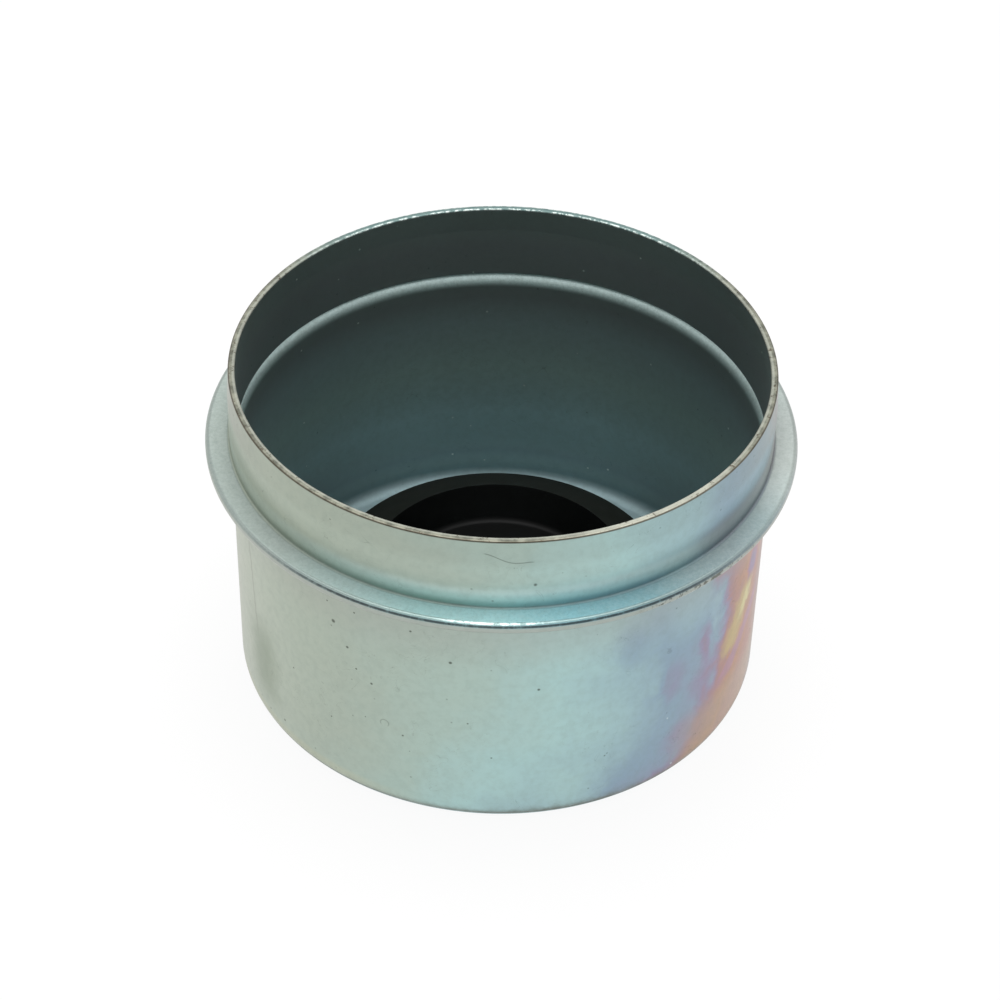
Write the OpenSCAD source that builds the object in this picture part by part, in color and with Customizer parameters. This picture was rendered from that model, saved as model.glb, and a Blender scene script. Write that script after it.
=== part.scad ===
// Drive-in hub grease cap, in millimetres, standing on its closed end with its open end up.
// A drawn steel cup presses into the hub by its collar and stops against a folded flange.
// A rubber plug closes the greasing hole in its stepped end.
// The origin is at the centre of the closed end's outer face, and +Z runs along the axis.

/* [Cup] */
// Height of the cup from its closed end to its rim
cap_h = 34.4; // [28:0.1:50]
// Thickness of the steel sheet
sheet = 0.65; // [0.5:0.05:0.9]
// How much further in the top of the body is than the collar
body_inset = 0.1; // [0:0.05:0.4]
// Draft of the body, measured across its wall from flange to corner
body_draft = 0.12; // [0:0.02:0.5]
// Outer radius of the corner between body and closed end
corner_r = 1.8; // [1.2:0.1:4]

/* [Collar] */
// Outside diameter of the collar's straight land
collar_d = 50.6; // [46:0.1:72]
// Height of the collar from the flange's face to the rim
collar_h = 7.45; // [5:0.05:12]
// Height of the tapered lead-in at the rim
lead_h = 2.6; // [1:0.1:4]
// How far the lead-in draws in at the rim, on the radius
lead_in = 0.15; // [0:0.05:0.5]
// Radius on the two sheared edges of the rim
rim_edge_r = 0.15; // [0.05:0.05:0.2]

/* [Flange] */
// How far the folded flange stands out past the collar
flange_w = 2.25; // [1.6:0.05:5]
// Radius of the bend between collar and flange, in its outside corner
upper_bend_r = 0.2; // [0.1:0.05:0.8]
// How much thinner the press leaves the flange's upper leaf than the sheet
leaf_press = 0.2; // [0:0.05:0.25]
// Radius on both edges of the flange's folded rim
nose_r = 0.45; // [0.2:0.05:0.45]
// Radius of the bend between flange and body, in its outside corner
lower_bend_r = 0.75; // [0.2:0.05:1]
// Depth of the crease left inside the fold, from the collar's inner wall
crease_depth = 0.7; // [0.3:0.05:0.85]
// Radius on the crease's upper lip, where the collar's inner wall ends
lip_r = 0.2; // [0.1:0.05:0.3]

/* [Closed end] */
// Diameter of the stepped-in centre that shelters the plug's head
step_d = 38; // [32:0.5:42]
// How far the centre is stepped in
step_h = 1.7; // [1.2:0.1:3]
// Outer radius of the step's bends
step_r = 0.95; // [0.9:0.05:1.1]
// Diameter of the greasing hole
hole_d = 30; // [24:0.5:31]

/* [Plug] */
// Radial gap round the plug's head, in the stepped-in centre
head_gap = 0.8; // [0.3:0.1:2]
// How far the head's face lies inside the cup's closed end
head_recess = 0.25; // [0.1:0.05:0.6]
// Clearance between the rubber and the steel that it grips
seat_gap = 0.05; // [0.02:0.01:0.1]
// How far the bulb stands out past the hole, on the radius
grip = 1.85; // [1:0.05:2.2]
// Height of the bulb's straight side
bulb_h = 4.75; // [3:0.05:7]
// Height of the sloping crown above the bulb's side
crown_h = 2.1; // [1:0.05:3]
// Thickness of rubber between the neck and the well's floor, on the radius
neck_wall = 4.4; // [3:0.05:6]
// How far the well opens out towards its mouth, on the radius
well_flare = 1.95; // [0.5:0.05:3]
// Depth of the well below the crown
well_depth = 3.1; // [1.5:0.05:5]
// Radius of the fillet between the well's wall and its floor
well_fillet = 0.8; // [0.3:0.05:1.2]
// Diameter of the shallow dish in the head's face
dish_d = 22; // [12:0.5:26]
// Depth of that dish
dish_h = 0.6; // [0.3:0.05:0.9]
// Radius on the plug's moulded edges
mould_r = 0.4; // [0.2:0.05:0.5]

/* [Hidden] */
$fn = 96;
// Overlap between neighbouring areas of one section
lap = 0.02;
collar_r = collar_d / 2;
rim_r = collar_r - lead_in;
body_r = collar_r - body_inset;
foot_r = body_r - body_draft;
flange_r = collar_r + flange_w;
flange_z = cap_h - collar_h;
// The fold closes on this plane, between the flange's upper and lower leaves
fold_z = flange_z - sheet + leaf_press;
flange_foot = fold_z - sheet;
flange_t = flange_z - flange_foot;
lower_c = [body_r + lower_bend_r, flange_foot - lower_bend_r];
crease_r = collar_r - sheet + crease_depth;
step_in_r = step_d / 2;
hole_r = hole_d / 2;
hole_top = step_h + sheet;
// Heights and radii of the plug
head_r = step_in_r - head_gap;
neck_r = hole_r - seat_gap;
bulb_r = hole_r + grip;
head_top = step_h - seat_gap;
bulb_z = hole_top + seat_gap;
shoulder_z = bulb_z + bulb_h;
crown_z = shoulder_z + crown_h;
well_r = neck_r - neck_wall;
mouth_r = well_r + well_flare;
well_z = crown_z - well_depth;
// Slope of the well's wall, and how far the fillet reaches in along the floor
well_slope = atan2(well_depth, well_flare);
well_toe = well_fillet * tan(well_slope / 2);
dish_r = dish_d / 2;

// Fills the corner at (x, z) with a hollow fillet that opens towards (sx, sz)
module fillet(x, z, r, sx, sz) {
    difference() {
        translate([min(x - sx * lap, x + sx * r), min(z - sz * lap, z + sz * r)])
            square(r + lap);
        translate([x + sx * r, z + sz * r]) circle(r);
    }
}

// A disc's half section, h thick from height z, with its upper outer edge rounded
module round_top(z, h, r_out, edge) {
    translate([0, z]) square([r_out, h - edge]);
    translate([0, z]) square([r_out - edge, h]);
    translate([r_out - edge, z + h - edge]) circle(edge);
}

// Everything inside the cup's outer skin
module cup_outline() {
    polygon([[0, fold_z], [collar_r, fold_z], [collar_r, cap_h - lead_h],
        [rim_r, cap_h - rim_edge_r], [0, cap_h - rim_edge_r]]);
    translate([0, cap_h - 2 * rim_edge_r]) square([rim_r - rim_edge_r, 2 * rim_edge_r]);
    translate([rim_r - rim_edge_r, cap_h - rim_edge_r]) circle(rim_edge_r);
    translate([0, flange_foot]) square([flange_r - nose_r, flange_t]);
    translate([0, flange_foot + nose_r]) square([flange_r, flange_t - 2 * nose_r]);
    translate([flange_r - nose_r, flange_foot + nose_r]) circle(nose_r);
    translate([flange_r - nose_r, flange_z - nose_r]) circle(nose_r);
    fillet(collar_r, flange_z, upper_bend_r, 1, 1);
    fillet(body_r, flange_foot, lower_bend_r, 1, -1);
    polygon([[0, corner_r], [foot_r, corner_r], [body_r, lower_c[1] - lap],
        [body_r, fold_z], [0, fold_z]]);
    square([foot_r - corner_r, corner_r + lap]);
    translate([foot_r - corner_r, corner_r]) circle(corner_r);
}

// The hollow of the cup above its floor, with the crease inside the fold
module cup_hollow() {
    polygon([[0, fold_z], [collar_r - sheet, fold_z], [collar_r - sheet, cap_h - lead_h],
        [rim_r - sheet, cap_h - rim_edge_r], [rim_r - sheet, cap_h + 1], [0, cap_h + 1]]);
    fillet(rim_r - sheet, cap_h, rim_edge_r, 1, -1);
    difference() {
        translate([0, lower_c[1]]) square([crease_r, fold_z - lower_c[1]]);
        translate(lower_c) circle(lower_bend_r + sheet);
    }
    fillet(collar_r - sheet, fold_z, lip_r, 1, 1);
    polygon([[0, corner_r], [foot_r - sheet, corner_r], [body_r - sheet, lower_c[1]],
        [body_r - sheet, lower_c[1] + lap], [0, lower_c[1] + lap]]);
    translate([0, sheet]) square([foot_r - corner_r, corner_r + lap - sheet]);
    translate([foot_r - corner_r, corner_r]) circle(corner_r - sheet);
}

// The stepped-in centre of the floor, drawn up into the hollow
module floor_step() {
    round_top(0, hole_top, step_in_r + sheet, step_r);
    fillet(step_in_r + sheet, sheet, step_r - sheet, 1, 1);
}

// Pressed steel cup: collar, folded flange, body and stepped end from one sheet
module cap_shell() {
    color([0.66, 0.71, 0.69])
        rotate_extrude() {
            difference() {
                union() {
                    difference() {
                        cup_outline();
                        cup_hollow();
                    }
                    floor_step();
                }
                translate([0, -1]) round_top(0, step_h + 1, step_in_r, step_r - sheet);
                fillet(step_in_r, 0, step_r, 1, 1);
                translate([0, -1]) square([hole_r, hole_top + 2]);
            }
        }
}

// Half section of the well moulded into the plug's inner end
module well_section() {
    difference() {
        polygon([[0, well_z], [well_r, well_z], [mouth_r, crown_z], [mouth_r, crown_z + 1],
            [0, crown_z + 1]]);
        well_corner();
    }
}

// Rubber that fills the corner between the well's wall and its floor, up to the fillet
module well_corner() {
    difference() {
        polygon([[well_r - well_toe, well_z - lap], [well_r + lap, well_z - lap],
            [well_r - well_toe + (well_fillet + lap) * sin(well_slope),
                well_z + well_fillet - (well_fillet + lap) * cos(well_slope)],
            [well_r - well_toe, well_z + well_fillet]]);
        translate([well_r - well_toe, well_z + well_fillet]) circle(well_fillet);
    }
}

// Moulded rubber plug: head outside, neck in the hole, bulb and crown inside the cup
module rubber_plug() {
    color([0.09, 0.1, 0.1])
        rotate_extrude() {
            difference() {
                union() {
                    translate([0, head_recess]) square([head_r - mould_r, head_top - head_recess]);
                    translate([0, head_recess + mould_r])
                        square([head_r, head_top - head_recess - mould_r]);
                    translate([head_r - mould_r, head_recess + mould_r]) circle(mould_r);
                    translate([0, head_top - lap]) square([neck_r, bulb_z - head_top + 2 * lap]);
                    translate([0, bulb_z]) square([bulb_r, bulb_h]);
                    polygon([[0, shoulder_z], [bulb_r, shoulder_z], [mouth_r, crown_z], [0, crown_z]]);
                }
                well_section();
                translate([0, -1]) square([dish_r, 1 + head_recess + dish_h]);
            }
        }
}

cap_shell();
rubber_plug();
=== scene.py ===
import math
import bpy
from mathutils import Matrix, Vector


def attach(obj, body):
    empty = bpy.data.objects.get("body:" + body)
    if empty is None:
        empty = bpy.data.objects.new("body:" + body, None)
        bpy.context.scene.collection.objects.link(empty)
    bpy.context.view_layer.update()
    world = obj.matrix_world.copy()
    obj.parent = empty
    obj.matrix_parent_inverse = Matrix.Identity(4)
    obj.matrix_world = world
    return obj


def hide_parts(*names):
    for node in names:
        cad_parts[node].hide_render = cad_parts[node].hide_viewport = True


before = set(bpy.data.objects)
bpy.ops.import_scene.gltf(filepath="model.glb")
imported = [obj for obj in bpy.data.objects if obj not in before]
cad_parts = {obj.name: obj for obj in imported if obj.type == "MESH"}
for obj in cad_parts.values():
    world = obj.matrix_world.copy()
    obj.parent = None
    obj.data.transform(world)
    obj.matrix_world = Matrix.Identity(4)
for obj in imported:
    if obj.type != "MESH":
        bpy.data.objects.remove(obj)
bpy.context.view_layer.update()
scene = bpy.context.scene
MM = 0.001


# The photographer's camera: a long lens that looks down into the cup from the front.
# It is held a little off level, so the cup leans to the right in the picture.
LENS_MM = 102.8
SENSOR_MM = 36.0
CAMERA_DISTANCE = 271.9 * MM
CAMERA_ELEVATION = math.radians(40.25)
CAMERA_ROLL = math.radians(1.39)
AIM_HEIGHT = 17.8 * MM


def make_camera():
    data = bpy.data.cameras.new("photo_camera")
    data.lens = LENS_MM
    data.sensor_width = SENSOR_MM
    data.clip_start = 0.01
    data.clip_end = 20.0
    camera = bpy.data.objects.new("photo_camera", data)
    scene.collection.objects.link(camera)
    back = Vector((0, -math.cos(CAMERA_ELEVATION), math.sin(CAMERA_ELEVATION)))
    turn = (-back).to_track_quat("-Z", "Y").to_matrix() @ Matrix.Rotation(CAMERA_ROLL, 3, "Z")
    eye = Vector((0, 0, AIM_HEIGHT)) + back * CAMERA_DISTANCE
    camera.matrix_world = Matrix.Translation(eye) @ turn.to_4x4()
    scene.camera = camera


make_camera()


# The studio: a white table that runs far back, with white all round and a soft lamp overhead.
# The camera's side is dimmer, as the room behind a photographer is, and it draws the dark
# lines along the rounded edges that face the lens.
FLOOR_SIZE = 4.0
FLOOR_GLOW = 0.92
ROOM_LIGHT = 0.92
FRONT_DIM = 0.84
LAMP_HEIGHT = 0.45
LAMP_BACK = 0.06
LAMP_AIM = 0.02
LAMP_SIZE = 0.32
LAMP_WATTS = 1.3


class Value:
    """A socket in a node tree. Python's operators on it add Math nodes."""

    def __init__(self, graph, socket):
        self.graph = graph
        self.socket = socket

    def other(self, name):
        """Another output of the node that this socket belongs to."""
        return Value(self.graph, self.socket.node.outputs[name])

    def math(self, operation, *others):
        inputs = {0: self, **{i + 1: other for i, other in enumerate(others)}}
        return self.graph.node("ShaderNodeMath", inputs, operation=operation)

    def __add__(self, other):
        return self.math("ADD", other)

    __radd__ = __add__

    def __sub__(self, other):
        return self.math("SUBTRACT", other)

    def __rsub__(self, other):
        return self.graph.node("ShaderNodeMath", {0: other, 1: self}, operation="SUBTRACT")

    def __mul__(self, other):
        return self.math("MULTIPLY", other)

    __rmul__ = __mul__

    def __truediv__(self, other):
        return self.math("DIVIDE", other)

    def __abs__(self):
        return self.math("ABSOLUTE")

    def step(self, low, high):
        """0 below low, 1 above high and smooth between. With low above high it falls instead."""
        inputs = {"Value": self, "From Min": min(low, high), "From Max": max(low, high)}
        inputs.update({"To Min": 0.0, "To Max": 1.0} if low < high else {"To Min": 1.0, "To Max": 0.0})
        return self.graph.node("ShaderNodeMapRange", inputs, interpolation_type="SMOOTHSTEP")


class Graph:
    """Builds one node tree, for a finish, the room or a mesh. node() adds a node and returns one output."""

    def __init__(self, tree):
        self.tree = tree
        tree.nodes.clear()

    def node(self, kind, inputs=None, output=0, stops=None, **settings):
        made = self.tree.nodes.new(kind)
        for name, setting in settings.items():
            setattr(made, name, setting)
        if stops:
            ramp = made.color_ramp
            while len(ramp.elements) > 1:
                ramp.elements.remove(ramp.elements[-1])
            for i, (place, colour) in enumerate(stops):
                element = ramp.elements[0] if i == 0 else ramp.elements.new(place)
                element.position = place
                element.color = colour if len(colour) == 4 else (*colour, 1.0)
        for name, value in (inputs or {}).items():
            if isinstance(value, Value):
                self.tree.links.new(value.socket, made.inputs[name])
            else:
                made.inputs[name].default_value = value
        return Value(self, made.outputs[output]) if made.outputs else None

    def mix(self, share, first, second):
        """A colour that goes from first to second as share goes from 0 to 1."""
        inputs = {0: share, 6: first, 7: second}
        return self.node("ShaderNodeMix", inputs, output=2, data_type="RGBA", clamp_factor=True)

    def noise(self, vector, scale, detail=2.0, roughness=0.5, distortion=0.0):
        inputs = {"Vector": vector, "Scale": scale, "Detail": detail}
        inputs.update({"Roughness": roughness, "Distortion": distortion})
        return self.node("ShaderNodeTexNoise", inputs, output="Fac")


def make_floor():
    data = bpy.data.meshes.new("white_table")
    half = FLOOR_SIZE / 2
    corners = [(-half, -half, 0), (half, -half, 0), (half, half, 0), (-half, half, 0)]
    data.from_pydata(corners, [], [(0, 1, 2, 3)])
    table = bpy.data.objects.new("white_table", data)
    scene.collection.objects.link(table)
    paint = bpy.data.materials.new("white_table")
    paint.use_nodes = True
    shader = Graph(paint.node_tree)
    seen = shader.node("ShaderNodeLightPath", output="Is Camera Ray")
    direct = seen.math("MAXIMUM", seen.other("Is Glossy Ray"))
    direct = direct.math("MAXIMUM", seen.other("Is Transmission Ray"))
    matt = shader.node("ShaderNodeBsdfDiffuse", {"Color": (0.9, 0.9, 0.9, 1.0)})
    glow = shader.node("ShaderNodeEmission", {"Color": (1.0, 1.0, 1.0, 1.0), "Strength": 1.0})
    mixed = shader.node("ShaderNodeMixShader", {0: direct * FLOOR_GLOW, 1: matt, 2: glow})
    shader.node("ShaderNodeOutputMaterial", {"Surface": mixed})
    data.materials.append(paint)


def make_room():
    world = bpy.data.worlds.new("white_room")
    world.use_nodes = True
    scene.world = world
    shader = Graph(world.node_tree)
    way = shader.node("ShaderNodeTexCoord", output="Generated")
    along = shader.node("ShaderNodeSeparateXYZ", {0: way}, output="Y")
    front = along.step(-0.05, -0.5) * along.other("Z").step(0.62, 0.36)
    seen = shader.node("ShaderNodeLightPath", output="Is Camera Ray")
    level = ROOM_LIGHT - front * FRONT_DIM * ROOM_LIGHT
    level = level * (1.0 - seen) + seen
    glow = shader.node("ShaderNodeBackground", {"Color": (1.0, 1.0, 1.0, 1.0), "Strength": level})
    shader.node("ShaderNodeOutputWorld", {"Surface": glow})


def make_lamp(name, place, aim, size, watts):
    data = bpy.data.lights.new(name, "AREA")
    data.shape = "DISK"
    data.size = size
    data.energy = watts
    lamp = bpy.data.objects.new(name, data)
    scene.collection.objects.link(lamp)
    lamp.location = place
    lamp.rotation_mode = "QUATERNION"
    lamp.rotation_quaternion = (Vector(aim) - Vector(place)).to_track_quat("-Z", "Y")


make_floor()
make_room()
make_lamp("overhead_lamp", (0.0, LAMP_BACK, LAMP_HEIGHT), (0.0, 0.0, LAMP_AIM), LAMP_SIZE, LAMP_WATTS)
scene.view_settings.view_transform = "Standard"


# The steel cup: deep drawn from one sheet, its flange folded flat, then zinc plated.
# Its section is turned round the axis, from the hole in the stepped floor out to the
# foot, up over the flange and the collar to the rim, and back down inside.
CUP_HEIGHT = 34.4
SHEET = 0.65
COLLAR_R = 25.3
RIM_R = 25.15
LEAD_FOOT = 31.8
RIM_EDGE_R = 0.15
BODY_R = 25.2
FOOT_R = 25.08
CORNER_R = 1.8
FLANGE_R = 27.55
FLANGE_FACE = 26.95
LEAF_PRESS = 0.2
NOSE_R = 0.45
COLLAR_BEND_R = 0.2
BODY_BEND_R = 0.75
CREASE_R = 25.35
LIP_R = 0.2
STEP_R = 19.0
STEP_HEIGHT = 1.7
STEP_BEND_R = 0.95
HOLE_R = 15.0
FOLD = FLANGE_FACE - SHEET + LEAF_PRESS
FLANGE_FOOT = FOLD - SHEET
CUP_TURNS = 448
# Points closer than this, in metres, are one: where the turn closes, and on the axis.
MERGE_DISTANCE = 1e-7


def bend(centre_r, centre_z, radius, start, end, steps=8):
    """Points round a bend in a section, between two directions in degrees."""
    angles = [math.radians(start + (end - start) * i / steps) for i in range(steps + 1)]
    return [(centre_r + radius * math.cos(a), centre_z + radius * math.sin(a)) for a in angles]


def held(points, gap=0.05):
    """The section with a point added beside each end of its long straights, so that they shade flat."""
    full = []
    for (r0, z0), (r1, z1) in zip(points, points[1:]):
        full.append((r0, z0))
        length = math.hypot(r1 - r0, z1 - z0)
        if length > 4 * gap:
            share = gap / length
            full.append((r0 + (r1 - r0) * share, z0 + (z1 - z0) * share))
            full.append((r1 - (r1 - r0) * share, z1 - (z1 - z0) * share))
    return full + [points[-1]]


def cup_section():
    """The steel's section, in mm, as one closed line with the steel on its left."""
    bend_r = BODY_R + BODY_BEND_R
    bend_z = FLANGE_FOOT - BODY_BEND_R
    inner_bend = BODY_BEND_R + SHEET
    crease = math.degrees(math.acos((CREASE_R - bend_r) / inner_bend))
    tight = STEP_BEND_R - SHEET
    top = STEP_HEIGHT + SHEET
    line = [(HOLE_R, STEP_HEIGHT)]
    line += bend(STEP_R - tight, STEP_HEIGHT - tight, tight, 90, 0, 6)
    line += bend(STEP_R + STEP_BEND_R, STEP_BEND_R, STEP_BEND_R, 180, 270)
    line += bend(FOOT_R - CORNER_R, CORNER_R, CORNER_R, -90, 0, 14)
    line += bend(bend_r, bend_z, BODY_BEND_R, 180, 90)
    line += bend(FLANGE_R - NOSE_R, FLANGE_FOOT + NOSE_R, NOSE_R, -90, 0, 10)
    line += bend(FLANGE_R - NOSE_R, FLANGE_FACE - NOSE_R, NOSE_R, 0, 90, 10)
    line += bend(COLLAR_R + COLLAR_BEND_R, FLANGE_FACE + COLLAR_BEND_R, COLLAR_BEND_R, 270, 180, 6)
    line += [(COLLAR_R, LEAD_FOOT)]
    line += bend(RIM_R - RIM_EDGE_R, CUP_HEIGHT - RIM_EDGE_R, RIM_EDGE_R, 0, 90, 6)
    line += bend(RIM_R - SHEET + RIM_EDGE_R, CUP_HEIGHT - RIM_EDGE_R, RIM_EDGE_R, 90, 180, 6)
    line += [(COLLAR_R - SHEET, LEAD_FOOT)]
    line += bend(COLLAR_R - SHEET + LIP_R, FOLD + LIP_R, LIP_R, 180, 270, 6)
    line += [(CREASE_R, FOLD)]
    line += bend(bend_r, bend_z, inner_bend, crease, 180, 12)
    line += bend(FOOT_R - CORNER_R, CORNER_R, CORNER_R - SHEET, 0, -90, 12)
    line += bend(STEP_R + STEP_BEND_R, STEP_BEND_R, tight, 270, 180, 6)
    line += bend(STEP_R + SHEET - STEP_BEND_R, top - STEP_BEND_R, STEP_BEND_R, 0, 90)
    line += [(HOLE_R, top), (HOLE_R, STEP_HEIGHT)]
    return held(line)


def turning_tree(name):
    """Geometry Nodes that turn a section round the Z axis into a closed, smooth solid."""
    tree = bpy.data.node_groups.new(name, "GeometryNodeTree")
    tree.interface.new_socket("Section", in_out="INPUT", socket_type="NodeSocketGeometry")
    turns = tree.interface.new_socket("Turns", in_out="INPUT", socket_type="NodeSocketInt")
    finish = tree.interface.new_socket("Finish", in_out="INPUT", socket_type="NodeSocketMaterial")
    tree.interface.new_socket("Solid", in_out="OUTPUT", socket_type="NodeSocketGeometry")
    graph = Graph(tree)
    section = graph.node("NodeGroupInput", output="Section")
    around, paint = section.other("Turns"), section.other("Finish")
    count = graph.node("GeometryNodeAttributeDomainSize", {"Geometry": section}, output="Point Count")
    size = {"Vertices X": around + 1.0, "Vertices Y": count}
    grid = graph.node("GeometryNodeMeshGrid", size, output="Mesh")
    index = graph.node("GeometryNodeInputIndex")
    row = index.math("MODULO", count)
    angle = (index - row) / count / around * (2 * math.pi)
    point = graph.node("GeometryNodeInputPosition")
    sampled = {"Geometry": section, "Value": point, "Index": row}
    place = graph.node("GeometryNodeSampleIndex", sampled, data_type="FLOAT_VECTOR", domain="POINT")
    swung = graph.node("ShaderNodeVectorRotate", {"Vector": place, "Angle": angle}, rotation_type="Z_AXIS")
    solid = graph.node("GeometryNodeSetPosition", {"Geometry": grid, "Position": swung})
    solid = graph.node("GeometryNodeMergeByDistance", {"Geometry": solid, "Distance": MERGE_DISTANCE})
    solid = graph.node("GeometryNodeSetShadeSmooth", {"Geometry": solid, "Shade Smooth": True})
    solid = graph.node("GeometryNodeRealizeInstances", {"Geometry": solid})
    solid = graph.node("GeometryNodeSetMaterial", {"Geometry": solid, "Material": paint})
    graph.node("NodeGroupOutput", {"Solid": solid})
    return tree, turns.identifier, finish.identifier


TURNING, TURNS_INPUT, FINISH_INPUT = turning_tree("turned_section")


def turned(name, section, turns, paint):
    """A solid of revolution from a section in mm, as one plain mesh."""
    data = bpy.data.meshes.new(name + "_section")
    data.from_pydata([(r * MM, 0, z * MM) for r, z in section], [], [])
    piece = bpy.data.objects.new(name, data)
    scene.collection.objects.link(piece)
    turner = piece.modifiers.new("turning", "NODES")
    turner.node_group = TURNING
    turner[TURNS_INPUT] = turns
    turner[FINISH_INPUT] = paint
    evaluated = piece.evaluated_get(bpy.context.evaluated_depsgraph_get())
    solid = bpy.data.meshes.new_from_object(evaluated)
    piece.modifiers.remove(turner)
    piece.data = solid
    solid.name = name
    bpy.data.meshes.remove(data)
    return piece


def colour(red, green, blue):
    """A linear colour from the 0 to 255 values of a colour picker."""
    values = [v / 255.0 for v in (red, green, blue)]
    linear = [v / 12.92 if v <= 0.04045 else ((v + 0.055) / 1.055) ** 2.4 for v in values]
    return (*linear, 1.0)


# The clear passivation over the zinc is a film so thin that it takes a colour from its
# thickness: grey-green on the left, cyan in front, then blue, lilac, orange and yellow.
FILM_STOPS = [
    (0.00, colour(177, 184, 166)),
    (0.25, colour(173, 185, 172)),
    (0.40, colour(173, 194, 185)),
    (0.52, colour(172, 204, 202)),
    (0.60, colour(160, 189, 194)),
    (0.67, colour(142, 165, 182)),
    (0.73, colour(149, 142, 167)),
    (0.78, colour(164, 128, 134)),
    (0.85, colour(182, 134, 102)),
    (0.91, colour(172, 120, 126)),
    (0.96, colour(146, 124, 160)),
    (1.00, colour(160, 146, 134)),
]


def grey(level):
    return (level, level, level, 1.0)


# Film thickness round the body and round the collar, by direction: 0 is the back, 0.5 the front.
# It is even near both ends, so that the two meet at the back without a seam.
BODY_FILM = [
    (0.00, grey(0.34)), (0.13, grey(0.34)), (0.20, grey(0.20)), (0.28, grey(0.02)), (0.39, grey(0.20)),
    (0.47, grey(0.38)), (0.54, grey(0.52)), (0.585, grey(0.61)), (0.612, grey(0.665)), (0.64, grey(0.69)),
    (0.653, grey(0.76)), (0.666, grey(0.81)), (0.682, grey(0.85)), (0.700, grey(0.88)), (0.730, grey(0.86)),
    (0.76, grey(0.78)), (0.81, grey(0.56)), (0.86, grey(0.34)), (1.00, grey(0.34)),
]
COLLAR_FILM = [
    (0.00, grey(0.35)), (0.11, grey(0.35)), (0.25, grey(0.05)), (0.39, grey(0.16)), (0.47, grey(0.30)),
    (0.53, grey(0.44)), (0.58, grey(0.55)), (0.65, grey(0.66)), (0.75, grey(0.62)), (0.89, grey(0.35)),
    (1.00, grey(0.35)),
]
# Patches where the film is thicker or thinner: direction, height, half width in degrees,
# half height in mm, and change.
FILM_PATCHES = [
    (46.0, 21.0, 10.0, 4.5, -0.05), (54.0, 16.5, 5.0, 5.0, -0.07), (49.5, 15.0, 2.6, 3.6, 0.06),
    (40.0, 13.0, 4.5, 3.0, 0.04), (69.5, 18.2, 3.4, 2.6, 0.11), (48.5, 10.2, 5.0, 2.0, 0.03),
    (53.5, 20.5, 3.0, 1.8, -0.04), (53.0, 9.6, 3.0, 1.4, -0.05), (60.0, 10.7, 1.6, 1.0, 0.09),
    (52.5, 22.5, 4.0, 1.6, 0.08), (28.0, 20.0, 6.0, 3.0, 0.05), (44.0, 5.0, 5.5, 2.6, 0.04),
    (-6.0, 5.0, 18.0, 9.0, 0.05), (17.0, 4.0, 9.0, 4.5, -0.04),
]
# Bands that lean outwards as they rise on the right: direction at the foot, degrees for each mm
# of height, half width, heights between which they fade in and out, share and colour.
FILM_BANDS = [
    (37.0, 2.70, 4.6, (6.8, 8.6), (14.6, 13.0), 0.60, colour(168, 128, 160)),
    (46.8, 1.17, 5.5, (10.0, 11.4), (17.8, 16.4), 0.85, colour(190, 170, 114)),
    (48.8, 1.17, 2.6, (13.0, 14.6), (17.0, 16.0), 0.70, colour(212, 206, 148)),
]
# Colour of the plating inside the cup, by height, with painted light in it: a lighter floor with a darker
# band just above it as painted reflection, and a painted highlight band just under the fold.
INSIDE_TINT_AND_LIGHT = [
    (0.020, colour(186, 208, 212)), (0.034, colour(162, 184, 188)), (0.050, colour(136, 160, 163)),
    (0.073, colour(144, 166, 168)), (0.116, colour(140, 158, 161)), (0.174, colour(154, 176, 178)),
    (0.270, colour(176, 204, 206)), (0.440, colour(178, 204, 199)), (0.600, colour(164, 184, 184)),
    (0.690, colour(145, 155, 154)), (0.728, colour(142, 152, 150)), (0.743, colour(210, 232, 229)),
    (0.769, colour(232, 252, 251)), (0.773, colour(144, 153, 151)), (0.870, colour(145, 152, 152)),
    (0.950, colour(148, 160, 156)), (1.000, colour(148, 160, 156)),
]
# Colour of the flange's pressed face, by direction: 0 is the back, 0.5 the front. Its film is bluer in
# front, and the face is also painted lighter there as painted light.
PRESSED_FILM_AND_LIGHT = [
    (0.00, colour(164, 174, 170)), (0.37, colour(162, 174, 171)), (0.42, colour(168, 193, 192)),
    (0.46, colour(163, 208, 209)), (0.50, colour(173, 223, 227)), (0.54, colour(142, 203, 213)),
    (0.58, colour(128, 174, 183)), (0.61, colour(147, 168, 171)), (0.64, colour(148, 164, 164)),
    (0.67, colour(156, 174, 173)), (0.70, colour(192, 201, 196)), (0.72, colour(190, 199, 194)),
    (0.76, colour(174, 182, 178)), (1.00, colour(164, 174, 170)),
]
# Small dark pits in the plating: direction in degrees from the front, height and radius.
PITS = [
    (-9.2, 19.9, 0.14), (8.8, 16.9, 0.12), (48.8, 3.6, 0.10), (-26.3, 14.9, 0.12), (-32.0, 18.2, 0.13),
    (-47.9, 11.2, 0.10), (-35.4, 20.6, 0.18), (-17.5, 22.8, 0.10), (3.1, 31.6, 0.11), (12.6, 30.7, 0.11),
    (17.4, 29.9, 0.11), (7.3, 29.6, 0.17), (-8.3, 30.1, 0.09), (-0.5, 8.4, 0.10), (-5.5, 12.6, 0.09),
    (-36.7, 8.3, 0.10), (-27.9, 10.4, 0.08), (-19.3, 9.6, 0.11), (-17.8, 7.8, 0.08), (-29.9, 16.0, 0.10),
    (-52.1, 3.0, 0.14), (-58.1, 2.4, 0.12), (-30.1, 22.8, 0.09), (-36.9, 22.7, 0.08), (23.8, 6.9, 0.10),
]
# Small bright flecks, given the same way.
FLECKS = [(39.3, 8.4, 0.10), (41.5, 1.9, 0.13), (36.0, 3.1, 0.08)]
# Between the outside and the inside of the wall, and how much further out that is at the fold.
SPLIT_R = 24.87
SPLIT_AT_FOLD = 0.55


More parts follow.
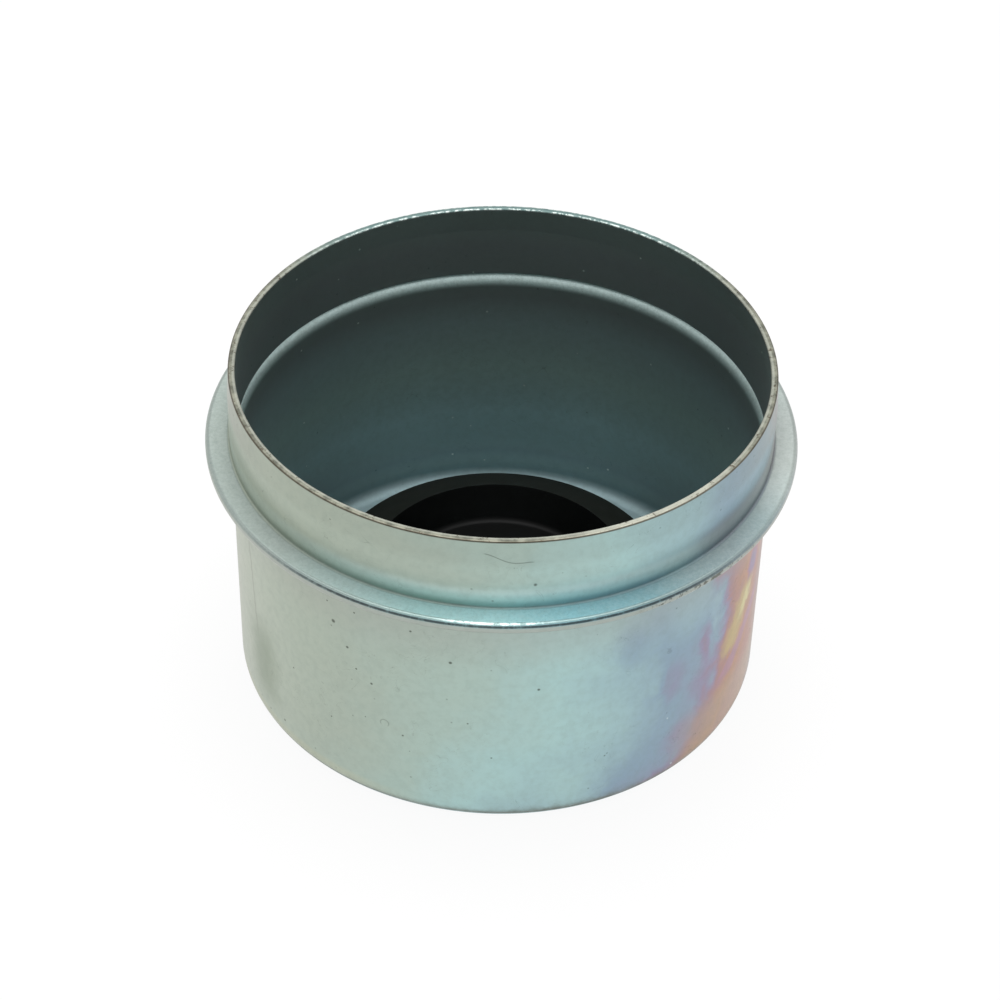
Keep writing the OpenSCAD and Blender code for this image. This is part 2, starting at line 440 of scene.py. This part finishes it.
class CupSurface(Graph):
    """The steel's node tree, with where a point is on the cup, in mm and in degrees."""

    def __init__(self, tree):
        super().__init__(tree)
        place = self.node("ShaderNodeTexCoord", output="Object")
        self.mm = self.node("ShaderNodeVectorMath", {0: place, 3: 1 / MM}, operation="SCALE")
        x = self.node("ShaderNodeSeparateXYZ", {0: self.mm}, output="X")
        y, z = x.other("Y"), x.other("Z")
        radius = (x * x + y * y).math("SQRT")
        # The direction is 0 in front and grows to the right. At the back it jumps from 180 to -180,
        # so what belongs to one side fades out before that.
        turn = x.math("ARCTAN2", y * -1.0) * (180 / math.pi)
        self.left = turn.step(-174.0, -120.0)
        self.right = turn.step(174.0, 120.0)
        # The places are 1 where they are and 0 elsewhere.
        fold = z.step(FLANGE_FOOT - 0.75, FLANGE_FOOT + 0.25) * z.step(FLANGE_FACE, FOLD + 0.2)
        outside = (radius - (fold * SPLIT_AT_FOLD + SPLIT_R)).step(-0.1, 0.1)
        collar = z.step(FLANGE_FOOT, FLANGE_FACE)
        self.flange = radius.step(COLLAR_R + 0.05, COLLAR_R + 0.25) * collar
        self.nose = radius.step(FLANGE_R - NOSE_R - 0.05, FLANGE_R - NOSE_R + 0.08)
        self.rim = z.step(CUP_HEIGHT - RIM_EDGE_R - 0.05, CUP_HEIGHT - 0.06)
        self.z, self.radius, self.turn = z, radius, turn
        self.outside, self.collar = outside, collar
        # Unevenness that several parts of the finish share, from coarse to fine.
        self.drift = self.noise(self.mm, 0.11, 3.0, 0.55, 0.4) - 0.5
        self.patch = self.noise(self.mm, 0.42, 2.0, 0.6, 0.8) - 0.5
        self.mottle = self.noise(self.mm, 1.3, 4.0, 0.62)
        self.nick = self.noise(self.mm, 1.6, 4.0, 0.7).step(0.58, 0.65)
        self.sand = self.noise(self.mm, 3.8, 3.0, 0.7)

    def by_direction(self, direction, stops):
        """A ramp that runs once round the cup, from the back by the left, front and right."""
        return self.node("ShaderNodeValToRGB", {0: direction / 360.0 + 0.5}, stops=stops)


# The film swings to the right near the foot: degrees at the table, and how fast it fades with height.
FOOT_SWING = 24.0
FOOT_FADE = 0.28
TURNED_AWAY = colour(156, 144, 140)
RIGHT_FOOT = colour(176, 168, 152)
UNDER_FLANGE_SHADE = colour(166, 168, 160)


def film_tint(steel):
    """The film's colours outside, from its thickness by direction, height, drift and patches."""
    z, turn, outside, collar = steel.z, steel.turn, steel.outside, steel.collar
    drift, patch = steel.drift, steel.patch
    low = (z * -FOOT_FADE).math("EXPONENT") * FOOT_SWING
    swung = turn + low * outside * (1.0 - collar) + drift * 20.0 + patch * 9.0
    body_film = steel.by_direction(swung, BODY_FILM)
    collar_film = steel.by_direction(turn + drift * 30.0, COLLAR_FILM)
    unrolled = steel.node("ShaderNodeCombineXYZ", {0: turn + patch * 5.0, 1: z + drift * 3.0, 2: 0.0})
    for direction, height, width, rise, change in FILM_PATCHES:
        scale = (1 / width, 1 / rise, 0.0)
        sized = {0: unrolled, 1: scale, 2: (-direction / width, -height / rise, 0.0)}
        spot = steel.node("ShaderNodeVectorMath", sized, operation="MULTIPLY_ADD")
        apart = steel.node("ShaderNodeVectorMath", {0: spot}, output="Value", operation="LENGTH")
        body_film = body_film + apart.step(1.2, 0.2) * change
    foot = z.step(CUP_HEIGHT - 4.0, FLANGE_FACE) * (1.0 - turn.step(18.0, 44.0) * steel.right)
    film = body_film * (1.0 - collar) + collar_film * collar + foot * collar * 0.12
    tint = steel.node("ShaderNodeValToRGB", {0: film}, stops=FILM_STOPS)

    # Greyer where it turns away on the right, then the leaning bands: magenta and the yellow streak.
    away = (turn + patch * 8.0).step(71.0, 80.0) * turn.step(125.0, 90.0)
    tint = steel.mix(away * 0.6, tint, TURNED_AWAY)
    foot = turn.step(38.0, 48.0) * steel.right * z.step(8.5, 5.0) * outside
    tint = steel.mix(foot * 0.42, tint, RIGHT_FOOT)
    for foot_turn, lean, width, rise, fall, share, hue in FILM_BANDS:
        band = (abs(turn + patch * 6.0 - z * lean - foot_turn) / width).step(1.0, 0.3)
        tint = steel.mix(band * z.step(*rise) * z.step(*fall) * outside * share, tint, hue)
    # Painted shade under the flange: the body below its overhang is painted darker and warmer grey.
    under_flange_shade = z.step(18.0, 24.6) * (1.0 - collar) * outside
    return steel.mix(under_flange_shade * 0.45, tint, UNDER_FLANGE_SHADE)


PRESS_LIGHT = colour(206, 212, 206)
PRESS_DARK = colour(118, 128, 124)


def pressed_tint(steel, tint):
    """The flange's face, matt from the press, bluer in front, and painted lighter in front as painted
    light.
    """
    flange, sand = steel.flange, steel.sand
    tint = steel.mix(flange * 0.85, tint, steel.by_direction(steel.turn, PRESSED_FILM_AND_LIGHT))
    tint = steel.mix(flange * sand.step(0.42, 0.68) * 0.14, tint, PRESS_LIGHT)
    return steel.mix(flange * sand.step(0.55, 0.35) * 0.14, tint, PRESS_DARK)


FOOT_BAND_PALE = colour(226, 240, 236)
LEFT_COLLAR = colour(200, 203, 184)
RIGHT_COLLAR = colour(152, 144, 148)
CORNER_SHADE = colour(104, 120, 124)
CORNER_SHADE_DEEP = colour(98, 114, 116)


def collar_foot_tint(steel, tint, corner):
    """The collar's foot: a lighter band above the flange, yellower at the left, greyer at the right, and
    painted shade in the corner.
    """
    z, turn = steel.z, steel.turn
    wall = steel.collar * steel.outside * (1.0 - steel.flange)
    # A lighter band painted along the collar's foot, lightest in front.
    foot_band = z.step(29.4, 28.4) * z.step(27.2, 28.0) * wall
    foot_band = foot_band * (abs(turn - 5.0).step(40.0, 15.0) * 0.15 + 0.5)
    tint = steel.mix(foot_band, tint, FOOT_BAND_PALE)
    yellow = turn.step(-25.0, -60.0) * steel.left * wall * z.step(30.5, 28.5)
    tint = steel.mix(yellow * 0.5, tint, LEFT_COLLAR)
    plain = turn.step(38.0, 54.0) * turn.step(112.0, 92.0) * z.step(30.2, 28.8) * wall
    tint = steel.mix(plain * 0.6, tint, RIGHT_COLLAR)
    # Painted shade in the corner where it stands on the flange: a soft band above the flange, and darker in
    # the corner itself.
    tint = steel.mix(z.step(28.1, FLANGE_FACE + 0.1) * wall * 0.16, tint, CORNER_SHADE)
    return steel.mix(corner * 0.2, tint, CORNER_SHADE_DEEP)


CREST_SHADE_GREY = colour(120, 130, 126)
GLINT_WHITE = colour(238, 246, 244)
DARK_REFLECTION = colour(76, 80, 86)
EDGE_GREY = colour(172, 177, 169)
SOOT = colour(70, 70, 62)
LEAD_DULL = colour(114, 114, 102)


def edge_wear_and_painted_light(steel, tint, crest):
    """The folded edge: painted highlights as white glints along its top in front, painted shade greying its
    top towards the sides, a painted dark reflection under them, plain grey below with dark soot spots, and
    the collar's dull lead-in.
    """
    mm, z, turn, nose = steel.mm, steel.z, steel.turn, steel.nose
    glint_spots = steel.noise(mm, 1.5, 3.0, 0.65).step(0.38, 0.6)
    # Painted highlight: white glints along the top of the edge in front. Painted shade greys the top
    # towards the sides, so that its highlight fades there.
    front_glint = glint_spots * abs(turn).step(12.0, 4.0)
    crest_shade_share = abs(turn).step(54.0, 28.0) * 0.55 + 0.2
    tint = steel.mix(crest * (1.0 - front_glint) * crest_shade_share, tint, CREST_SHADE_GREY)
    tint = steel.mix(crest * front_glint * 0.8, tint, GLINT_WHITE)
    # Painted reflection: a dark line along the edge's rounding under the crest, strongest in front.
    dark_reflection_line = nose * z.step(FLANGE_FACE - 0.10, FLANGE_FACE - 0.16) * z.step(FOLD + 0.06, FOLD + 0.14)
    ragged = steel.noise(mm, 1.4, 3.0, 0.7)
    dark = (ragged.step(0.34, 0.52) * 0.42 + 0.38) * (1.0 - abs(turn - 2.0).step(30.0, 60.0) * 0.82)
    tint = steel.mix(dark_reflection_line * dark, tint, DARK_REFLECTION)
    below = nose * z.step(FOLD + 0.14, FOLD + 0.04)
    tint = steel.mix(below * 0.85, tint, EDGE_GREY)
    soot = ragged.step(0.5, 0.58) * abs(turn - 42.0).step(18.0, 9.0)
    tint = steel.mix(below * soot * 0.75, tint, SOOT)
    # The collar's lead-in is rubbed duller, most of all at the sides.
    lead = z.step(LEAD_FOOT - 0.8, LEAD_FOOT + 0.6) * steel.outside
    lead = lead * (0.14 + abs(turn + 2.0).step(48.0, 76.0) * 0.3)
    return steel.mix(lead, tint, LEAD_DULL)


SIDE_SHADE = colour(64, 66, 64)
SHOULDER_SAND = colour(150, 174, 170)


def inside_tint(steel):
    """Inside, the plating is plainer and a little green, with painted shade at the sides."""
    z, turn = steel.z, steel.turn
    tint = steel.node("ShaderNodeValToRGB", {0: z / CUP_HEIGHT}, stops=INSIDE_TINT_AND_LIGHT)
    shoulder = z.step(FOLD - 1.8, FOLD - 1.2) * z.step(FOLD + 0.1, FOLD)
    side_shade = abs(turn).step(165.0, 115.0) * abs(turn).step(50.0, 85.0) * (1.0 - shoulder * 0.6)
    tint = steel.mix(side_shade * 0.4, tint, SIDE_SHADE)
    return steel.mix(shoulder * steel.sand.step(0.42, 0.62) * 0.22, tint, SHOULDER_SAND)


SHEARED_DARK = colour(98, 100, 90)
SHEARED_LIGHT = colour(146, 147, 133)
SHEARED_BRIGHT = colour(204, 204, 190)
INNER_EDGE = colour(186, 190, 180)
NICK_AND_EDGE_SHADE = colour(76, 66, 52)
PLATED_EDGE = colour(104, 134, 134)
RIM_GLINT = colour(222, 232, 228)


def rim_tint(steel):
    """The sheared edge is bare: lighter inside and at the front right, nicked, with painted shade in a dark
    line along its outer corner.
    """
    mm, turn, radius = steel.mm, steel.turn, steel.radius
    shade = steel.noise(mm, 0.9, 3.0, 0.6).step(0.32, 0.66)
    bare = steel.mix(shade, SHEARED_DARK, SHEARED_LIGHT)
    bare = steel.mix(abs(turn - 34.0).step(30.0, 8.0) * 0.48, bare, SHEARED_BRIGHT)
    bare = steel.mix(radius.step(RIM_R - 0.32, RIM_R - 0.42) * 0.4, bare, INNER_EDGE)
    # Painted shade: a dark line along the outer rounded corner, joined with the dark nicks.
    outer_corner_shade = radius.step(RIM_R - 0.16, RIM_R - 0.06)
    bare = steel.mix((steel.nick * 0.85).math("MAXIMUM", outer_corner_shade * 0.7), bare, NICK_AND_EDGE_SHADE)
    # At the back the edge is plated over and blue-green, with painted highlights as bright glints along
    # both its corners.
    plated = abs(turn).step(118.0, 148.0)
    bare = steel.mix(plated * 0.8, bare, PLATED_EDGE)
    back_glints = steel.noise(mm, 2.0, 3.0, 0.65).step(0.44, 0.6)
    back_glints = back_glints * abs(radius - RIM_R + SHEET / 2).step(0.1, 0.2)
    return steel.mix(plated * back_glints * 0.85, bare, RIM_GLINT)


FOOT_GRIME = colour(116, 122, 106)
FOOT_CORNER_SHADE = colour(104, 112, 103)
CREAM = colour(190, 192, 168)
SCUFF_DARK = colour(88, 82, 68)
RUN_GREEN = colour(130, 143, 122)
STREAK_DARK = colour(96, 96, 78)
LEFT_OLIVE = colour(140, 146, 120)


def stood_tint(steel, tint, grime):
    """The foot where the cup has stood: grime, painted shade along the bottom corner, scuffs, and a cream
    line at the left.
    """
    z, turn, patch, outside = steel.z, steel.turn, steel.patch, steel.outside
    tint = steel.mix(grime * 0.8, tint, FOOT_GRIME)
    # Painted shade along the bottom corner, standing in for the contact shadow it reflects, strongest in
    # front.
    corner_shade_share = abs(turn - 5.0).step(38.0, 14.0) * 0.2 + 0.65
    tint = steel.mix(z.step(1.8, 0.85) * outside * corner_shade_share, tint, FOOT_CORNER_SHADE)
    cream = z.step(2.6, 1.9) * z.step(1.1, 1.4) * turn.step(-12.0, -36.0) * steel.left * outside
    tint = steel.mix(cream * 0.45, tint, CREAM)
    scuff = z.step(1.35, 1.05) * outside * (steel.nick * 0.4 + 0.35)
    tint = steel.mix(scuff, tint, SCUFF_DARK)
    # A darker run low on the left side, a thin streak above it, and an olive cast beyond them.
    run = (abs(turn + patch * 4.0 + 61.0) / 10.0).step(1.0, 0.1) * z.step(1.0, 6.5) * z.step(15.0, 9.0)
    tint = steel.mix(run * outside * 0.75, tint, RUN_GREEN)
    streak = abs(turn + 60.3 + z * 0.25 + patch * 0.9).step(0.5, 0.2)
    streak = streak * z.step(9.5, 13.0) * z.step(24.0, 19.0)
    tint = steel.mix(streak * outside * 0.34, tint, STREAK_DARK)
    olive = turn.step(-60.0, -78.0) * steel.left * outside * (1.0 - steel.collar)
    return steel.mix(olive * 0.25, tint, LEFT_OLIVE)


# The wall is unrolled for the marks: its mean radius gives the scale, and they lie at MARKED_R.
WALL_R = 25.14
MM_PER_DEGREE = WALL_R * math.pi / 180
MARKED_R = 25.18
FLECK_LIGHT = colour(206, 222, 222)
DUST_LIGHT = colour(226, 236, 230)
MARK_DARK = colour(74, 80, 70)


def marked_tint(steel, tint):
    """Pits, flecks, dust and scratches. It also returns where the dark ones and the deep ones are."""
    mm, z, turn, outside = steel.mm, steel.z, steel.turn, steel.outside
    wrapped = steel.node("ShaderNodeCombineXYZ", {0: turn * MM_PER_DEGREE, 1: z, 2: steel.radius})

    def distance_from(direction, height):
        ends = {0: wrapped, 1: (direction * MM_PER_DEGREE, height, MARKED_R)}
        return steel.node("ShaderNodeVectorMath", ends, output="Value", operation="DISTANCE")

    def spots(places):
        """Small round spots, dark or light: full inside 0.6 of the radius, and gone at 1.5."""
        nearest = None
        for direction, height, size in places:
            radii = distance_from(direction, height) * (1 / size)
            nearest = nearest.math("MINIMUM", radii) if nearest else radii
        return nearest.step(1.5, 0.6)

    # A small ring low on the left, the pits, and one curly scratch on the collar.
    ring = abs(distance_from(-23.4, 10.5) - 0.42).step(0.09, 0.03) * z.step(10.1, 10.4)
    dents = spots(PITS).math("MAXIMUM", ring * 0.4)
    tint = steel.mix(spots(FLECKS) * 0.8, tint, FLECK_LIGHT)
    wave = (turn * 0.62).math("SINE") * -0.22 + 32.62 - turn * 0.09
    curl = abs(z - wave).step(0.085, 0.03) * abs(turn - 2.0).step(5.2, 4.4) * outside
    dents = dents.math("MAXIMUM", curl * 0.55)
    # Hair scratches and stray specks all over, and pale dust inside.
    hair = abs(steel.noise(mm, 0.33, 2.0, 0.5, 1.6) - 0.5).step(0.0035, 0.001)
    hair = hair * steel.noise(mm, 0.17, 2.0).step(0.48, 0.58) * 0.34
    centre = steel.node("ShaderNodeTexVoronoi", {"Vector": mm, "Scale": 0.55}, output="Distance")
    lot = steel.node("ShaderNodeSeparateColor", {0: centre.other("Color")}, output="Red")
    speck = centre.step(0.075, 0.035) * lot.step(0.62, 0.64) * 0.5
    dust = centre.step(0.08, 0.04) * lot.step(0.27, 0.25) * (1.0 - outside)
    tint = steel.mix(dust * 0.7, tint, DUST_LIGHT)
    marks = dents.math("MAXIMUM", hair).math("MAXIMUM", speck)
    return steel.mix(marks * 0.75, tint, MARK_DARK), marks, dents


MOTTLE_GREY = colour(128, 142, 134)


def paint_steel():
    """The whole finish, put on in the order in which the cup got it."""
    paint = bpy.data.materials.new("zinc_plated_steel")
    paint.use_nodes = True
    steel = CupSurface(paint.node_tree)
    mm, z, turn, radius, outside = steel.mm, steel.z, steel.turn, steel.radius, steel.outside
    inner = 1.0 - outside
    corner = z.step(FLANGE_FACE + 0.25, FLANGE_FACE + 0.12) * radius.step(COLLAR_R + 0.32, COLLAR_R + 0.17)
    corner = corner * steel.collar * outside
    crest = steel.nose * z.step(FLANGE_FACE - 0.12, FLANGE_FACE - 0.07)
    # Where the foot has stood the grime is dull, mostly on the front right.
    stood = z.step(2.4, 0.6) * outside * (0.35 + abs(turn - 20.0).step(35.0, 8.0) * 0.65)
    grime = stood * steel.noise(mm, 0.9, 4.0, 0.7).step(0.3, 0.62)

    tint = pressed_tint(steel, film_tint(steel))
    tint = collar_foot_tint(steel, tint, corner)
    tint = edge_wear_and_painted_light(steel, tint, crest)
    tint = steel.mix(outside, inside_tint(steel), tint)
    tint = steel.mix(steel.mottle.step(0.35, 0.75) * 0.16, tint, MOTTLE_GREY)
    tint = steel.mix(steel.rim, tint, rim_tint(steel))
    tint = stood_tint(steel, tint, grime)
    tint, marks, dents = marked_tint(steel, tint)

    grain = steel.noise(mm, 5.5, 3.0, 0.6)
    roll = steel.noise(mm, 0.5, 2.0, 0.5)
    relief = {"Strength": 0.35, "Distance": 0.02 * MM, "Height": grain * 0.35 + roll * 1.5 - dents * 1.2}
    bump = steel.node("ShaderNodeBump", relief, output="Normal")
    face = steel.flange * (1.0 - steel.nose)
    dull = 0.27 + steel.mottle * 0.10 + steel.rim * 0.12 + grime * 0.25 + marks * 0.2
    dull = dull + face * 0.28 + inner * 0.16 + crest * 0.08 + corner * 0.3
    dull = dull + z.step(3.6, 2.0) * inner * 0.22
    metal = 0.86 - face * 0.46 - grime * 0.2
    finish = {"Base Color": tint, "Metallic": metal, "Roughness": dull, "Normal": bump}
    zinc = steel.node("ShaderNodeBsdfPrincipled", finish)
    steel.node("ShaderNodeOutputMaterial", {"Surface": zinc})
    return paint


cup = turned("steel_cup", cup_section(), CUP_TURNS, paint_steel())
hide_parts("cap_shell")
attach(cup, "root")


# The rubber plug: moulded black rubber, pushed into the greasing hole from outside.
# Its head fills the stepped floor's recess, its neck the hole, and its bulb and crown
# stand up inside the cup, with a shallow well in the middle.
HEAD_R = 18.2
HEAD_FACE = 0.25
HEAD_TOP = 1.65
DISH_R = 11.0
DISH_DEPTH = 0.6
NECK_R = 14.95
BULB_R = 16.85
BULB_FOOT = 2.4
SHOULDER = 7.15
CROWN = 9.25
MOUTH_R = 12.5
WELL_R = 10.55
WELL_FLOOR = 6.15
WELL_FILLET = 0.8
MOULD_R = 0.4
PLUG_TURNS = 256


def plug_section():
    """The rubber's section, in mm, from the axis on its outer face round to the axis in its well."""
    slope = math.atan2(CROWN - WELL_FLOOR, MOUTH_R - WELL_R)
    toe = WELL_FILLET * math.tan(slope / 2)
    line = [(0.0, HEAD_FACE + DISH_DEPTH), (DISH_R, HEAD_FACE + DISH_DEPTH), (DISH_R, HEAD_FACE)]
    line += bend(HEAD_R - MOULD_R, HEAD_FACE + MOULD_R, MOULD_R, -90, 0, 6)
    line += [(HEAD_R, HEAD_TOP), (NECK_R, HEAD_TOP), (NECK_R, BULB_FOOT)]
    line += [(BULB_R, BULB_FOOT), (BULB_R, SHOULDER), (MOUTH_R, CROWN)]
    start = math.degrees(slope) - 90
    line += bend(WELL_R - toe, WELL_FLOOR + WELL_FILLET, WELL_FILLET, start, -90, 8)
    line += [(0.0, WELL_FLOOR)]
    return held(line, 0.01)


# Linear colours, because rubber is darker than a colour picker can tell apart.
WELL_SHADE_BLACK = (0.0008, 0.0010, 0.0009, 1.0)
WELL_SHADE_BLOOM = (0.0014, 0.0017, 0.0016, 1.0)
CROWN_BLACK = (0.0075, 0.0082, 0.0066, 1.0)
CROWN_BLOOM = (0.0110, 0.0118, 0.0100, 1.0)
RUBBER_GLOSS = 0.08


def paint_rubber():
    """Matt black rubber, with painted shade in its well: the well is painted far darker than the crown."""
    paint = bpy.data.materials.new("black_rubber")
    paint.use_nodes = True
    shader = Graph(paint.node_tree)
    place = shader.node("ShaderNodeTexCoord", output="Object")
    mm = shader.node("ShaderNodeVectorMath", {0: place, 3: 1 / MM}, operation="SCALE")
    x = shader.node("ShaderNodeSeparateXYZ", {0: mm}, output="X")
    y = x.other("Y")
    bloom = shader.noise(mm, 0.6, 4.0, 0.6)
    skin = shader.noise(mm, 3.0, 3.0, 0.6)
    # Painted shade: the well is painted far darker than the crown.
    well = shader.mix(bloom.step(0.35, 0.75), WELL_SHADE_BLACK, WELL_SHADE_BLOOM)
    crown = shader.mix(bloom.step(0.35, 0.75), CROWN_BLACK, CROWN_BLOOM)
    on_crown = (x * x + y * y).math("SQRT").step(MOUTH_R - 0.05, MOUTH_R + 0.1)
    tint = shader.mix(on_crown, well, crown)
    relief = {"Strength": 0.3, "Distance": 0.02 * MM, "Height": skin}
    bump = shader.node("ShaderNodeBump", relief, output="Normal")
    finish = {"Base Color": tint, "Roughness": 0.38 + bloom * 0.12, "Specular IOR Level": RUBBER_GLOSS}
    rubber = shader.node("ShaderNodeBsdfPrincipled", {**finish, "Normal": bump})
    shader.node("ShaderNodeOutputMaterial", {"Surface": rubber})
    return paint


plug = turned("rubber_plug_skin", plug_section(), PLUG_TURNS, paint_rubber())
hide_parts("rubber_plug")
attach(plug, "root")
